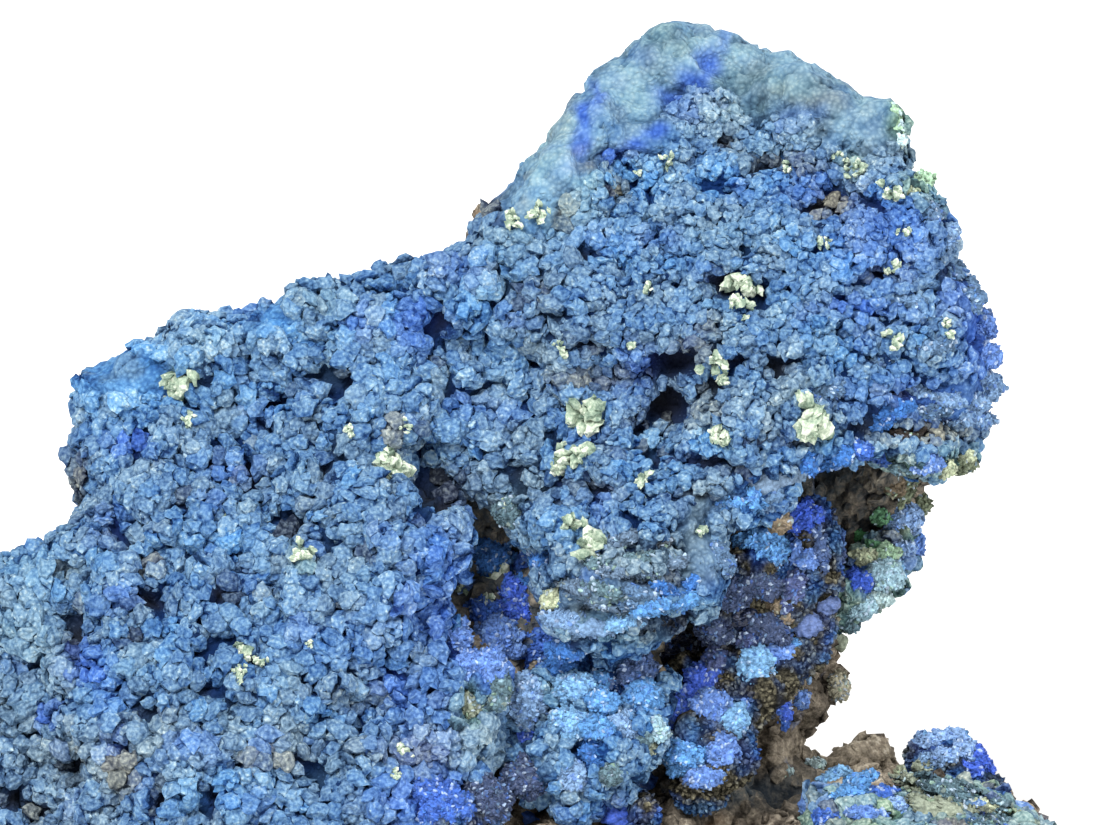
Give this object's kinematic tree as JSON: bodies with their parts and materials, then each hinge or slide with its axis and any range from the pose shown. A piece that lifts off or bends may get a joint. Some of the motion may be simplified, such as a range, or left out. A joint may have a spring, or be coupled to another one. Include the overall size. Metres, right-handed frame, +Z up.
{
  "type": "azurite specimen",
  "caption": "Azurite mineral specimen: a granular blue azurite crust with rounded nodules on brown limonite matrix, flat underneath so that it stands.",
  "frame": {"origin": "middle of the specimen's footprint box, on the surface that it stands on", "axes": "+X to the right along the crust, the longest side; -Y towards the viewer who looks at the crust; +Z up"},
  "size_m": [0.0776, 0.036, 0.0596],
  "materials": {
    "azurite": "dusty granular druse, matt, medium blue with paler tips and dark blue crevices",
    "deep_azurite": "rounded druse of small fresh crystals, deep violet blue with a slight sparkle",
    "azurite_on_malachite": "lumpy crust, blue passing to pale green and teal where malachite shows",
    "limonite": "rough broken rock, dull dark brown with earthy tan spots"
  },
  "bodies": {
    "root": {"limonite_matrix": "limonite", "azurite_crust": "azurite", "hollow_nodules": "deep_azurite", "azurite_dome": "deep_azurite", "azurite_ball": "deep_azurite", "shelf_nodules": "deep_azurite", "azurite_knob": "deep_azurite", "ledge_crust": "azurite_on_malachite", "rim_crust": "azurite_on_malachite"}
  },
  "joints": []
}
